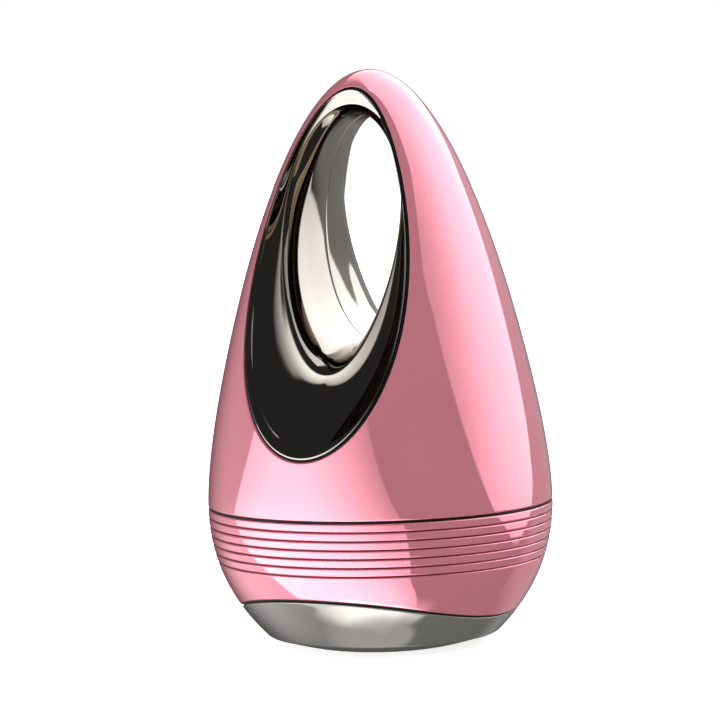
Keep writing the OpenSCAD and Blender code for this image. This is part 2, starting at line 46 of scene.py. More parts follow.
BODY_R, SHOULDER_R, SHOULDER_Z, TOP_Z = 32.5, 26, 63.5, 108.0
SEAM_Z, SEAM_GAP, SHELL_WALL, TONGUE_R = 26.6, 0.5, 2.0, 30.35
GASKET_SUNK, GASKET_W, TOUCH = 0.35, 0.5, 0.02
RIM_Z, RIM_DROP, RIM_R, RIM_GAP, PLATE_WALL = 11.7, 5.3, 25.8, 0.5, 1.2
GROOVES, GROOVE_START, GROOVE_PITCH = 6, 1.8, 1.65
GROOVE_HALF, GROOVE_DEPTH = 0.25, 0.33
BUTTON_Z, BUTTON_R, BUTTON_PROUD = 32.2, 2.6, 0.3
FLANGE_R, FLANGE_T, STEM_R, STEM_Y = 3.2, 0.7, 1.0, 27.22
RING_R, SLIDE_GAP, PAD_R, PAD_Y = 3.48, 0.08, 4.3, 28.9
HINGE_Z, COVER_W, COVER_H, COVER_ROUND, COVER_GAP = 16.6, 12.4, 7.4, 2.0, 0.2
RECESS_DROP, RECESS_Y, BEAD_R, BEAD_Y = 1.2, 30.5, 0.85, 30.065
PORT_Z, PORT_HOLE_W, PORT_HOLE_H, PORT_PAD_Y = 20.32, 9.2, 3.5, 28.6
NUB_W, NUB_H, NUB_Y = 7.0, 1.8, 30.0
WINDOW_RX, WINDOW_RZ, WINDOW_Z, WINDOW_EGG = 16.1, 33.7, 71, 0.19
LOOP_RX, LOOP_RZ, LOOP_Z = 10, 21.2, 78.4
RIDGE_RX, RIDGE_RZ, RIDGE_Z, RIDGE_EGG = 12.1, 24.6, 77, -0.12
LIP_Y, LIP_RAKE, RIDGE_Y, RIDGE_RAKE = 6.4, 1.2, 14, 6.4
LINER_WALL, EDGE_DEPTH, LOOP_SPLIT = 1.2, 2.1, 0.1
FLARE, LIP_LEAN, FLAT_LEAN, END_LEAN = 0.3, 42.0, 88.0, 42.0
LIP_PULL, DISH_PULL, DISH_PULL_MORE = 0.38, 0.3, 0.4

# Small forms of the liner that only the scene has, and the pull at its edge, which is 0.25 in the CAD
SIDE_DIP, LEDGE_TOP, LEDGE_MORE, EDGE_PULL = 0.7, 0.02, 0.08, 0.15


# Shapes

def full_turn(n):
    """n even angles round a circle."""
    return np.linspace(0, 2 * np.pi, n, endpoint=False)


def unit(v):
    """The vectors at length one."""
    return v / np.maximum(np.linalg.norm(v, axis=-1, keepdims=True), 1e-9)


def column(t, like):
    """Shares t with as many axes behind them as rows such as like have."""
    return np.reshape(t, (-1,) + (1,) * np.ndim(like))


def bezier(p, n):
    """The cubic through p[0] and p[3], points or rows of points: their Bernstein sum at n + 1 even steps."""
    p = [np.asarray(q, float) for q in p]
    t = column(np.linspace(0, 1, n + 1), p[0])
    return (1 - t) ** 3 * p[0] + 3 * (1 - t) ** 2 * t * p[1] + 3 * (1 - t) * t * t * p[2] + t ** 3 * p[3]


def blend_rows(a, b, t):
    """Rows between row a and row b, at the shares t."""
    a, b = np.broadcast_arrays(a, b)
    t = column(t, a)
    return (1 - t) * a + t * b


def fillet(edge, one, other, size, n=6):
    """Rows that round an edge: a parabola from edge plus size along one, to edge plus size along other."""
    t = column(np.linspace(0, 1, n + 1), edge)
    return edge + size * ((1 - t) ** 2 * one + t ** 2 * other)


def ring_way(p):
    """The direction along a closed ring of points: from each point's neighbour before to the one after."""
    return unit(np.roll(p, -1, 0) - np.roll(p, 1, 0))


def swing(r, turn, z):
    """Radius and height swung about Z to the turn: 0 is -Y, a quarter is +X."""
    return np.stack(np.broadcast_arrays(r * np.sin(turn), -r * np.cos(turn), z), -1)


def turn_of(co):
    """The turn of points about Z."""
    return np.arctan2(co[..., 0], -co[..., 1])


def turn_near(co, turn):
    """The turn of points about Z, whole turns added or taken off to lie next to the given one."""
    return turn + (np.mod(turn_of(co) - turn + np.pi, 2 * np.pi) - np.pi)


def egg_outline():
    """Radius and height along the egg's outline: four cubics from the flat base over the seam to the top. Their
    handles run level, upright, or along the lean of the shoulder and the rise of the base."""
    rest, base, seam, shoulder, top = map(np.array, (
        (BASE_R, 0), (CORNER_R, CORNER_Z), (BODY_R, SEAM_Z), (SHOULDER_R, SHOULDER_Z), (0, TOP_Z)))
    lean, rise = np.radians(14.7), np.radians(44)
    inward = np.array([-np.sin(lean), np.cos(lean)])
    outward = np.array([np.cos(rise), np.sin(rise)])
    parts = [bezier([rest, rest + [3, 0], base - [3, 0.75], base], 600),
             bezier([base, base + 8.6 * outward, seam - [0, 10.3], seam], 1600),
             bezier([seam, seam + [0, 11.3], shoulder - 8.85 * inward, shoulder], 1600),
             bezier([shoulder, shoulder + 13.1 * inward, top + [13, 0], top], 4000)]
    return np.vstack([parts[0]] + [p[1:] for p in parts[1:]])


OUTLINE = egg_outline()
tangents = np.gradient(OUTLINE, axis=0)
tangents /= np.linalg.norm(tangents, axis=1)[:, None]
OUTWARD = np.stack([tangents[:, 1], -tangents[:, 0]], -1)
ALONG = np.concatenate([[0], np.cumsum(np.linalg.norm(np.diff(OUTLINE, axis=0), axis=1))])


class Skin:
    """The egg moved inwards by depth. A point is named by its way along the outline and its turn about Z."""

    def __init__(self, depth=0.0):
        self.line = OUTLINE - depth * OUTWARD
        self.line[:, 0] = np.maximum(self.line[:, 0], 0)

    def radius(self, z):
        return np.interp(z, self.line[:, 1], self.line[:, 0])

    def way(self, z):
        return np.interp(z, self.line[:, 1], ALONG)

    def at(self, way, turn):
        """Radius and height at that way along the line, swung to the turn."""
        return swing(np.interp(way, ALONG, self.line[:, 0]), turn, np.interp(way, ALONG, self.line[:, 1]))

    def front(self, xz):
        """The point of the front half that lies straight before the given X and Z."""
        x, z = xz[..., 0], xz[..., 1]
        return np.stack([x, -np.sqrt(np.maximum(self.radius(z) ** 2 - x * x, 0)), z], -1)


SKIN, INNER = Skin(), Skin(SHELL_WALL)


def outward_at(co):
    """The egg's own normal at points on it: the outline's normal at their height, swung to their turn."""
    n = np.stack([np.interp(co[..., 2], OUTLINE[:, 1], OUTWARD[:, i]) for i in (0, 1)], -1)
    r = np.maximum(np.hypot(co[..., 0], co[..., 1]), 1e-9)
    return np.stack([n[..., 0] * co[..., 0] / r, n[..., 0] * co[..., 1] / r, n[..., 1]], -1)


def ring(rx, rz, z, egg, a):
    """An egg-shaped ring in X and Z: an ellipse about height z that is wider below than above."""
    return np.stack([rx * np.sin(a) * (1 - egg * np.cos(a)), z + rz * np.cos(a)], -1)


def window_ring(a, less=0.0):
    """The window's edge, less further in. The shift of the angle only moves points along it."""
    return ring(WINDOW_RX - less, WINDOW_RZ - less, WINDOW_Z, WINDOW_EGG, a - np.radians(9.4) * np.sin(a))


def loop_ring(a, more=0.0):
    """The ellipse of the finger hole at its narrowest, more further out."""
    return ring(LOOP_RX + more, LOOP_RZ + more, LOOP_Z, 0, a)


def ridge_ring(a):
    """The crease between lip and dish."""
    return ring(RIDGE_RX, RIDGE_RZ, RIDGE_Z, RIDGE_EGG, a)


def plate_rim(x):
    """Height of the line between plate and shell: a saddle, high at front and back, low at the sides."""
    s = x / RIM_R
    return RIM_Z - RIM_DROP * (0.7 * s ** 2 + 0.3 * s ** 4)


def rim_height(skin, turn, above):
    """Height where a skin meets the plate's rim line moved up by above: the line's height at the skin's radius,
    taken again at the height that this gives until it stands still."""
    z = np.full(len(turn), 10.0)
    for _ in range(40):
        z = plate_rim(skin.radius(z) * np.sin(turn)) + above
    return z


def rim_frame(turn, side):
    """The rim of the lower shell for side 1, or of the plate for side -1: its points on the egg, the direction in
    across its cut face, and the one along the egg away from the gap."""
    rim = SKIN.at(SKIN.way(rim_height(SKIN, turn, side * RIM_GAP / 2)), turn)
    slope = (plate_rim(rim[:, 0] + 0.01) - plate_rim(rim[:, 0] - 0.01)) / 0.02
    inward = unit(swing(-1, turn, -slope * np.sin(turn)))
    away = unit(np.cross(ring_way(rim), outward_at(rim)))
    away *= side * np.sign(away[:, 2])[:, None]
    return rim, inward, away


# Meshes

def triangles(rows, columns, wrap_rows, wrap_columns, start):
    """Two triangles for each cell of a grid of points, whose numbers begin at start."""
    i = np.arange(rows if wrap_rows else rows - 1)[:, None]
    j = np.arange(columns if wrap_columns else columns - 1)[None, :]
    i2, j2 = (i + 1) % rows, (j + 1) % columns
    cell = (i * columns + j, i * columns + j2, i2 * columns + j2, i2 * columns + j)
    a, b, c, d = (x + 0 * (i + j) for x in cell)
    return start + np.concatenate([np.stack(half, -1).reshape(-1, 3) for half in ((a, b, c), (a, c, d))])


class Form:
    """Grids of points in millimetres that are sewn into one closed mesh."""

    def __init__(self):
        self.points, self.faces, self.count = [], [], 0

    def sheet(self, grid, wrap_rows=False, wrap_columns=False):
        """Adds a grid, whose rows or columns may close on themselves."""
        n, m = grid.shape[:2]
        self.faces.append(triangles(n, m, wrap_rows, wrap_columns, self.count))
        self.points.append(grid.reshape(-1, 3))
        self.count += n * m
        return self

    def mesh(self, name):
        """Points that coincide are made one, faces without an area go, and the normals turn outwards."""
        co, faces = np.concatenate(self.points), np.concatenate(self.faces)
        _, first, number = np.unique(np.round(co, 5), axis=0, return_index=True, return_inverse=True)
        faces = number.reshape(-1)[faces]
        co = co[first]
        bad = (faces[:, 0] == faces[:, 1]) | (faces[:, 1] == faces[:, 2]) | (faces[:, 2] == faces[:, 0])
        faces = faces[~bad]
        me = bpy.data.meshes.new(name)
        me.vertices.add(len(co))
        me.vertices.foreach_set("co", (co * 0.001).astype(np.float32).ravel())
        me.loops.add(faces.size)
        me.loops.foreach_set("vertex_index", faces.astype(np.int32).ravel())
        me.polygons.add(len(faces))
        me.polygons.foreach_set("loop_start", np.arange(0, faces.size, 3, dtype=np.int32))
        me.update(calc_edges=True)
        bm = bmesh.new()
        bm.from_mesh(me)
        bmesh.ops.recalc_face_normals(bm, faces=bm.faces)
        bm.to_mesh(me)
        bm.free()
        me.shade_smooth()
        return me


def closed(grid):
    """A form of one grid whose columns run round."""
    return Form().sheet(grid, wrap_columns=True)


def band(rows):
    """A form of one grid that closes both ways, as a tyre does."""
    return Form().sheet(np.asarray(rows), wrap_rows=True, wrap_columns=True)


def vertex_array(me):
    """The mesh's points in millimetres."""
    co = np.empty(len(me.vertices) * 3, np.float32)
    me.vertices.foreach_get("co", co)
    return co.reshape(-1, 3).astype(float) * 1000


# Faces that meet at more than this keep a sharp edge
SHARP = np.radians(40)


def follow_skin(me, near=0.004, cap_z=107.5, cap_r=9):
    """Corners of the faces that run along the egg get the egg's own normal, so that its gloss goes on past cuts
    and rims: those near it in radius, and all of its cap. The others get a smooth normal that stops at sharp
    edges."""
    me.set_sharp_from_angle(angle=SHARP)
    co = vertex_array(me)
    r = np.hypot(co[:, 0], co[:, 1])
    on = (np.abs(r - SKIN.radius(co[:, 2])) < near) | ((co[:, 2] > cap_z) & (r < cap_r))
    corners = np.empty(len(me.loops), np.int32)
    me.loops.foreach_get("vertex_index", corners)
    sides = np.empty(len(me.polygons), np.int32)
    me.polygons.foreach_get("loop_total", sides)
    faces = np.empty(len(me.polygons) * 3, np.float32)
    me.polygons.foreach_get("normal", faces)
    faces = np.repeat(faces.reshape(-1, 3), sides, axis=0)
    egg = outward_at(co)[corners]
    along_egg = on[corners] & ((egg * faces).sum(-1) > np.cos(SHARP))
    me.normals_split_custom_set(np.where(along_egg[:, None], egg, 0.0).tolist())


def mark_grooves(me, deepest=1.4):
    """Writes on each point of a grooved outside how deep it lies under the egg, as a share of a groove's depth:
    the mask of the painted shade in the grooves. Points beyond the deepest share, or above or below the grooves,
    belong to other faces and get 0."""
    co = vertex_array(me)
    deep = (SKIN.radius(co[:, 2]) - np.hypot(co[:, 0], co[:, 1])) / GROOVE_DEPTH
    first = SEAM_Z - GROOVE_START
    low, high = first - (GROOVES - 1) * GROOVE_PITCH - 2 * GROOVE_HALF, first + 2 * GROOVE_HALF
    banded = (deep < deepest) & (co[:, 2] > low) & (co[:, 2] < high)
    # The mark is the mask of a painted shade: the pink finishes turn to a dark wine tone where it is high.
    mark = me.attributes.new("groove", "FLOAT", "POINT")
    mark.data.foreach_set("value", np.where(banded, np.clip(deep, 0, 1), 0).astype(np.float32))


def piece(name, shape, slot, nodes, body="housing"):
    """An object from a form or a mesh. It takes the place of CAD nodes and moves with their body."""
    me = shape.mesh(name) if isinstance(shape, Form) else shape
    me.name = name
    obj = bpy.data.objects.new(name, me)
    bpy.context.scene.collection.objects.link(obj)
    me.materials.append(FINISHES[slot])
    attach(obj, body)
    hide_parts(*nodes)


def cut(me, tool, operation="DIFFERENCE"):
    """The mesh after an exact boolean with the tool's mesh."""
    objs = [bpy.data.objects.new("work", m) for m in (me, tool)]
    for o in objs:
        bpy.context.scene.collection.objects.link(o)
    mod = objs[0].modifiers.new("cut", "BOOLEAN")
    mod.object, mod.operation, mod.solver = objs[1], operation, "EXACT"
    out = bpy.data.meshes.new_from_object(objs[0].evaluated_get(bpy.context.evaluated_depsgraph_get()))
    out.materials.clear()
    for o in objs:
        bpy.data.objects.remove(o)
    return out


def turned(outline, middle, n=96):
    """An outline of radius and way along +Y, turned about the line along +Y through middle."""
    a = full_turn(n)
    r, y = np.asarray(outline, float).T
    return np.stack([middle[0] + r[:, None] * np.cos(a), middle[1] + y[:, None] + 0 * a,
                     middle[2] + r[:, None] * np.sin(a)], -1)


def rounded(corners, size, n=4):
    """A run of points with its inner corners rounded by parabolas that start at size from each corner."""
    c = [np.asarray(p, float) for p in corners]
    out = [c[0][None]]
    for before, here, after in zip(c, c[1:], c[2:]):
        one, other = unit(before - here), unit(after - here)
        s = min(size, 0.45 * np.linalg.norm(before - here), 0.45 * np.linalg.norm(after - here))
        out.append(fillet(here, one, other, s, n))
    return np.vstack(out + [c[-1][None]])


def upper_shell_half(form, turn, columns=288, rows=44, size=0.32):
    """Half of the upper shell round its window. On a flat map of the egg, whose polar distance is the way from
    the top and whose angle is the turn about Z, straight rays run from the window's edge to the shell's bounds:
    the seam and the plane between the halves. Its edges are rounded by size."""
    a = full_turn(columns)
    edge, inner_edge = SKIN.front(window_ring(a)), INNER.front(window_ring(a))
    out = unit(np.cross(ring_way(edge), outward_at(edge)))
    out *= np.sign((out * (edge - edge.mean(0))).sum(-1))[:, None]

    def to_map(co, skin):
        way, around = ALONG[-1] - skin.way(co[..., 2]), turn_of(co)
        return np.stack([way * np.sin(around), way * np.cos(around)], -1)

    def from_map(m, skin):
        return skin.at(ALONG[-1] - np.hypot(m[..., 0], m[..., 1]), np.arctan2(m[..., 0], m[..., 1]))

    low = SEAM_Z + SEAM_GAP / 2
    start = to_map(edge + size * out, SKIN)
    reach = ALONG[-1] - SKIN.way(low + size)
    middle = np.array([0, 0.5 * (start[:, 1].min() + start[:, 1].max())])
    d = unit(start - middle)
    with np.errstate(divide="ignore"):
        to_line = np.where(d[:, 1] < 0, -middle[1] / d[:, 1], 1e9)
    along = (d * middle).sum(-1)
    to_seam = -along + np.sqrt(along ** 2 + reach ** 2 - middle[1] ** 2)
    bound = middle + np.minimum(to_line, to_seam)[:, None] * d
    bound[to_line <= to_seam, 1] = 0
    for side in (-1, 1):
        corner = np.array([side * reach, 0])
        bound[np.argmin(np.linalg.norm(bound - corner, axis=1))] = corner
    near_seam = np.hypot(*bound.T) > reach - 1e-6
    bound[near_seam] *= (reach / np.hypot(*bound[near_seam].T))[:, None]
    share = np.linspace(0, 1, rows) ** 1.5
    outer = from_map(blend_rows(start, bound, share), SKIN)
    rounding = fillet(edge, out, [0, 1, 0], size)
    rounding[0] = outer[0]
    wall = blend_rows(rounding[-1], inner_edge, np.linspace(0, 1, 4))
    inner = from_map(blend_rows(to_map(inner_edge, INNER), bound, share), INNER)
    spin = np.array([[np.cos(turn), -np.sin(turn), 0], [np.sin(turn), np.cos(turn), 0], [0, 0, 1]])
    whole = np.concatenate([inner[::-1], wall[::-1][1:], rounding[::-1][1:], outer[1:]])
    form.sheet(whole @ spin.T, wrap_columns=True)
    turns = np.arctan2(*bound[near_seam].T)
    order = np.argsort(turns)
    outer_end, inner_end = outer[-1][near_seam][order], inner[-1][near_seam][order]
    outer_foot, inner_foot = (swing(skin.radius(low), turns[order], low) for skin in (SKIN, INNER))
    seam_round = fillet(outer_foot, [0, 0, 1], unit(-outer_foot * [1, 1, 0]), size)
    seam_round[0] = outer_end
    form.sheet(np.concatenate([seam_round, inner_foot[None], inner_end[None]]) @ spin.T)


def grooved(z):
    """Depth of the grooves at height z: for each a bell, e to the power of minus the square of 1.45 s, where s is
    the way from its middle in half widths, cut off at s 1.5."""
    depth = np.zeros_like(z)
    for i in range(GROOVES):
        s = np.abs(z - (SEAM_Z - GROOVE_START - i * GROOVE_PITCH)) / GROOVE_HALF
        depth += GROOVE_DEPTH * np.where(s < 1.5, np.exp(-(1.45 * s) ** 2), 0)
    return depth


def lower_shell_form(columns=288, size=0.3, low=15.9):
    """The lower shell turned from its outline, with rows close together across each groove. Below height low the
    rows spread out to meet the wavy rim. Its edges are rounded by size."""
    turn = full_turn(columns)
    high = SEAM_Z - SEAM_GAP / 2
    across = np.array([.2, .4, .6, .8, 1, 1.2, 1.5, 1.9])
    across = GROOVE_HALF * np.concatenate([-across[::-1], [0], across])
    z = [np.array([low])]
    for i in range(GROOVES - 1, -1, -1):
        mid = SEAM_Z - GROOVE_START - i * GROOVE_PITCH
        z += [mid + across, np.array([mid + GROOVE_PITCH / 2])]
    z = np.concatenate(z)
    z = np.append(z[z < high - size - 0.05], high - size)
    banded = swing((SKIN.radius(z) - grooved(z))[:, None], turn, z[:, None])
    rim, inward, up = rim_frame(turn, 1)
    start = rim + size * up
    start_way = SKIN.way(start[:, 2])
    start = SKIN.at(start_way, turn_of(start))
    share = np.linspace(0, 1, 26)[:-1]
    body = SKIN.at(blend_rows(start_way, SKIN.way(low), share), blend_rows(turn_near(start, turn), turn, share))
    round_low = fillet(rim, up, inward, size)
    round_low[0] = body[0]
    round_top = fillet(SKIN.at(SKIN.way(high), turn), [0, 0, -1], unit(swing(-1, turn, 0)), size)
    round_top[0] = banded[-1]
    inner_end = INNER.way(rim_height(INNER, turn, RIM_GAP / 2))
    inner = INNER.at(blend_rows(INNER.way(high), inner_end, np.linspace(0, 1, 24)), turn)
    return band(np.concatenate([round_low[::-1], body[1:], banded, round_top[1:], inner]))


def treatment_plate_form(columns=288, size=0.28, corner_soft=0.25):
    """The plate's cup: rows along the egg's outline from the middle of the base to just under the rim, and back.
    Its rim is rounded by size, and no row lies nearer than corner_soft to the base's corner."""
    turn = full_turn(columns)
    inside = Skin(PLATE_WALL)
    rim, inward, down = rim_frame(turn, -1)
    end = rim + size * down
    corner = SKIN.way(CORNER_Z)
    flat = swing(np.linspace(0, BASE_R, 8)[:-1, None], turn, 0)
    foot = SKIN.at(np.linspace(0, corner - corner_soft, 12)[:, None], turn)
    share = np.linspace(0, 1, 30)
    ways = blend_rows(corner + corner_soft, SKIN.way(end[:, 2]), share)
    body = SKIN.at(ways, blend_rows(turn, turn_near(end, turn), share))
    rounding = fillet(rim, down, inward, size)
    rounding[0] = body[-1]
    inner_start = inside.way(rim_height(inside, turn, -RIM_GAP / 2))
    inner = inside.at(blend_rows(inner_start, 0.0, np.linspace(0, 1, 20)), turn)
    inner_flat = swing(np.linspace(BASE_R, 0, 5)[1:, None], turn, PLATE_WALL)
    return closed(np.concatenate([flat, foot, body, rounding[1:], inner, inner_flat]))


def lean_to(u, angle):
    """A direction that leaves the depth axis -Y by the angle, towards u in X and Z."""
    angle = angle + 0 * u[:, 0]
    return np.stack([u[:, 0] * np.sin(angle), -np.cos(angle), u[:, 1] * np.sin(angle)], -1)


def depth_at(xz, depth):
    """Points at X and Z that lie depth before the middle plane."""
    return np.stack([xz[:, 0], -depth + 0 * xz[:, 0], xz[:, 1]], -1)


def liner_rows(a, wall, edge, lip=26, dish=40):
    """Rows from the middle of the finger hole over lip and ridge to the window's edge, and their last direction.
    At each angle the line is a flared tunnel, a cubic that leans out to the ridge, and one that leaves it flat
    and turns up to the edge; it stays flat for longer at the lower left and right. The ridge lies further back
    at the sides, by the side dip times the sine squared and one plus the cosine. wall puts the rows behind the
    metal's face, and edge ends them that much under the skin."""
    s, r0, e = loop_ring(a, wall), ridge_ring(a), window_ring(a, GASKET_W + TOUCH)
    skin_depth = -SKIN.front(e)[:, 1]
    lip_depth, ridge_depth = LIP_Y - LIP_RAKE * np.cos(a), RIDGE_Y - RIDGE_RAKE * np.cos(a)
    ridge_depth = ridge_depth - SIDE_DIP * np.sin(a) ** 2 * (1 + np.cos(a))
    lean = np.radians((LIP_LEAN + FLAT_LEAN) / 2)
    u = unit(e - loop_ring(a))
    r = r0 + wall * np.cos(lean) * u
    end = lean_to(unit(e - r), np.radians(END_LEAN))
    lobe = np.maximum(-np.cos(a), 0)[:, None] * np.abs(np.sin(a))[:, None]
    t = np.linspace(0, 1, 9)[:-1, None]
    depth = LOOP_SPLIT + (lip_depth - LOOP_SPLIT)[None] * t
    flare = FLARE * t[..., None] ** 2 * u[None]
    tunnel = np.stack([s[None, :, 0] + flare[..., 0], -depth, s[None, :, 1] + flare[..., 1]], -1)
    at_lip, at_ridge = depth_at(s + FLARE * u, lip_depth), depth_at(r, ridge_depth - wall * np.sin(lean))

    def curve(p, q, leave, arrive, pull_p, pull_q, n):
        chord = np.linalg.norm(q - p, axis=1)[:, None]
        return bezier([p, p + pull_p * chord * leave, q - pull_q * chord * arrive, q], n)

    lip_rows = curve(at_lip, at_ridge, lean_to(u, np.arctan2(2 * FLARE, lip_depth)),
                     lean_to(u, np.radians(LIP_LEAN)), LIP_PULL, LIP_PULL, lip)
    dish_rows = curve(at_ridge, depth_at(e, skin_depth - edge), lean_to(u, np.radians(FLAT_LEAN)), end,
                      DISH_PULL + DISH_PULL_MORE * lobe, EDGE_PULL, dish)
    return np.concatenate([tunnel, lip_rows[:-1], dish_rows]), end


def liner_form(columns=320, size=0.1, lip_size=0.08, spare=1.3):
    """The metal liner: its face, a narrow ledge that faces forward, an edge rounded over by size into the side
    that the gasket seals, and its back. The ledge is narrow at the top and grows by one less the cosine. Rows of
    the face go where they come closer to the edge than spare times the ledge."""
    a = full_turn(columns)
    face, end = liner_rows(a, 0.0, 0.0)
    back, _ = liner_rows(a, LINER_WALL, EDGE_DEPTH, 10, 12)
    ledge = (LEDGE_TOP + LEDGE_MORE * (1 - np.cos(a)))[:, None]
    outward = lean_to(unit(end[:, [0, 2]]), np.radians(FLAT_LEAN))
    rim = fillet(face[-1], -outward, [0, 1, 0], size)
    lip = fillet(face[0], [0, -1, 0], np.stack([np.sin(a), 0 * a, np.cos(a)], -1), lip_size, 3)
    keep = np.linalg.norm(face - face[-1], axis=-1).min(1) > (size + ledge.max()) * spare
    keep[0] = False
    flat = np.stack([face[-1] - outward * (size + ledge * share) for share in (1, .93, .5, .07)])
    return band(np.concatenate([lip[::-1], face[keep], flat, rim, back[::-1]]))


def half_turn(form):
    """The same form turned half round about Z."""
    form.points = [p * [-1, -1, 1] for p in form.points]
    return form


def liner_gasket_form(columns=288, dome=0.12, back=1.5):
    """A rubber ring between shell and liner, its face domed and sunk under the skin."""
    a = full_turn(columns)

    def row(share, deep):
        p = SKIN.front(window_ring(a, TOUCH + share * (GASKET_W - TOUCH)))
        p[:, 1] += deep
        return p

    face = [row(t, GASKET_SUNK + dome * (2 * t - 1) ** 2) for t in np.linspace(0, 1, 7)]
    return band(face + [row(1, back), row(0, back)])


def seam_gasket_form(columns=192):
    """A rubber band between the shells: a rounded oblong turned about Z."""
    low, high, out, inn = SEAM_Z - SEAM_GAP / 2, SEAM_Z + SEAM_GAP / 2, BODY_R - GASKET_SUNK, TONGUE_R + TOUCH
    r, z = rounded([(inn, low), (out, low), (out, high), (inn, high)], 0.15).T
    return band(swing(r[:, None], full_turn(columns), z[:, None]))


def plate_gasket_form(columns=240, beyond_wall=0.13):
    """A rubber band along the plate's rim: five rows across the gap on the egg sunk a little, and two behind."""
    turn, rows = full_turn(columns), []
    for depth, heights in ((GASKET_SUNK, (-1, -0.6, 0, 0.6, 1)), (PLATE_WALL + beyond_wall, (1, -1))):
        skin = Skin(depth)
        rows += [skin.at(skin.way(rim_height(skin, turn, h * RIM_GAP / 2)), turn) for h in heights]
    return band(rows)


def tube(outline, y0, y1):
    """A closed outline in X and Z carried along Y, its two ends closed towards their middle."""
    outline = np.asarray(outline, float)
    middle = outline.mean(0) + 0 * outline
    return np.stack([np.stack([p[:, 0], y + 0 * p[:, 0], p[:, 1]], -1)
                     for p, y in ((middle, y0), (outline, y0), (outline, y1), (middle, y1))])


def stadium(w, h, z, n=24):
    """Two half circles joined by straight lines, about height z."""
    a = np.linspace(0, np.pi, n + 1)
    half = np.stack([(w - h) / 2 + h / 2 * np.sin(a), h / 2 * np.cos(a)], -1)
    return np.vstack([half, -half]) + [0, z]


def recess_outline(n=12):
    """The port cover's outline with its gap, from behind: square below, its two upper corners quarter circles."""
    w, top, low = COVER_W / 2 + COVER_GAP, HINGE_Z + COVER_H + COVER_GAP, HINGE_Z - RECESS_DROP
    a = np.linspace(0, np.pi / 2, n + 1)[:, None]
    corner = COVER_ROUND * np.hstack([np.sin(a), np.cos(a)]) + [w - COVER_ROUND, top - COVER_ROUND]
    return np.vstack([corner, [[w, low], [-w, low]], (corner * [-1, 1])[::-1]])


def rear_y(x, z, depth=0.0):
    """Depth of the egg's rear at X and Z, moved in along its radius."""
    return np.sqrt(np.maximum((SKIN.radius(z) - depth) ** 2 - x * x, 0))


def power_button_form(dish_r=2.1, dish_depth=0.16):
    """The button turned about its own line: a shallow dished face, which is a parabola, a rounded rim, the flange
    that keeps it in, and the stem that presses the switch."""
    face, back = SKIN.radius(BUTTON_Z) + BUTTON_PROUD, PAD_Y - TOUCH
    dish = [(r, face - dish_depth * (1 - (r / dish_r) ** 2)) for r in np.linspace(0, dish_r, 9)]
    rim = rounded([(dish_r, face), (BUTTON_R, face), (BUTTON_R, back)], 0.28, 8)
    foot = [(FLANGE_R, back), (FLANGE_R, back - FLANGE_T), (STEM_R, back - FLANGE_T), (STEM_R, STEM_Y),
            (0, STEM_Y)]
    return closed(turned(dish + rim[1:].tolist() + foot, (0, 0, BUTTON_Z)))


def light_ring_form():
    """A band round the button. Its face follows the egg and drops at both edges by a rounded step."""
    a = full_turn(128)
    low, high = BUTTON_R + SLIDE_GAP, RING_R
    section = [(low, 9), (low, .14), (low + .04, .05), (low + .12, .01), (low + .2, 0), (high - .2, 0),
               (high - .12, .01), (high - .04, .05), (high, .14), (high, 9)]
    rows = []
    for r, drop in section:
        x, z = r * np.cos(a), BUTTON_Z + r * np.sin(a)
        rows.append(np.stack([x, np.maximum(rear_y(x, z) - drop, PAD_Y), z], -1))
    return band(rows)


def port_cover_mesh(size=0.22, back_gap=0.1, nub_in=0.6, bead_in=0.01):
    """The rubber cover. Its face is the egg's grooved rear over the outline, rounded down along the outline by a
    quarter circle of that size; a bead along its lower edge and a nub on its back are joined to it."""
    top, half_w = HINGE_Z + COVER_H, COVER_W / 2
    corner_z, corner_x = top - COVER_ROUND, half_w - COVER_ROUND
    z = np.unique(np.concatenate([np.linspace(HINGE_Z, top, 120), top - COVER_ROUND * (1 - np.sin(
        np.linspace(0, np.pi / 2, 16))), top - size * np.linspace(0, 1, 6) ** 2]))
    z = z[np.concatenate([[True], np.diff(z) > 1e-4])]
    half = corner_x + np.sqrt(np.maximum(COVER_ROUND ** 2 - np.maximum(z - corner_z, 0) ** 2, 0))
    t = np.sin(np.pi / 2 * np.linspace(-1, 1, 81))
    x, z = half[:, None] * t, z[:, None] + 0 * t
    over_x, over_z = np.abs(x) - corner_x, z - corner_z
    inside = np.where((over_x > 0) & (over_z > 0), COVER_ROUND - np.hypot(over_x, over_z),
                      np.minimum(half_w - np.abs(x), top - z))
    drop = size - np.sqrt(size ** 2 - np.clip(size - inside, 0, size) ** 2)
    face = np.stack([x, rear_y(x, z, grooved(z)) - drop, z], -1)
    back = np.stack([x, RECESS_Y + back_gap + 0 * x, z], -1)
    form = Form().sheet(face).sheet(back)
    for side in (np.s_[0], np.s_[-1], np.s_[:, 0], np.s_[:, -1]):
        form.sheet(np.stack([face[side], back[side]]))
    a = full_turn(96)
    bead_r = np.array([0, .88, .97, 1, 1, .97, .88, 0])[:, None] * BEAD_R
    bead_x = half_w * np.array([-1, -1, -.995, -.98, .98, .995, 1, 1])[:, None]
    bead_z = HINGE_Z + bead_r * np.sin(a)
    bead_y = np.minimum(BEAD_Y + bead_r * np.cos(a), rear_y(bead_x, bead_z, grooved(bead_z)) - bead_in)
    bead = closed(np.stack([bead_x + 0 * a, bead_y, bead_z], -1))
    nub = closed(tube(stadium(NUB_W, NUB_H, PORT_Z), NUB_Y, RECESS_Y + nub_in))
    me = cut(cut(form.mesh("cover_face"), bead.mesh("cover_bead"), "UNION"), nub.mesh("cover_nub"), "UNION")
    me.shade_smooth()
    me.set_sharp_from_angle(angle=SHARP)
    # Painted shade goes into the cover's grooves and along its rounded-down outline, which lies under the egg too.
    mark_grooves(me)
    return me


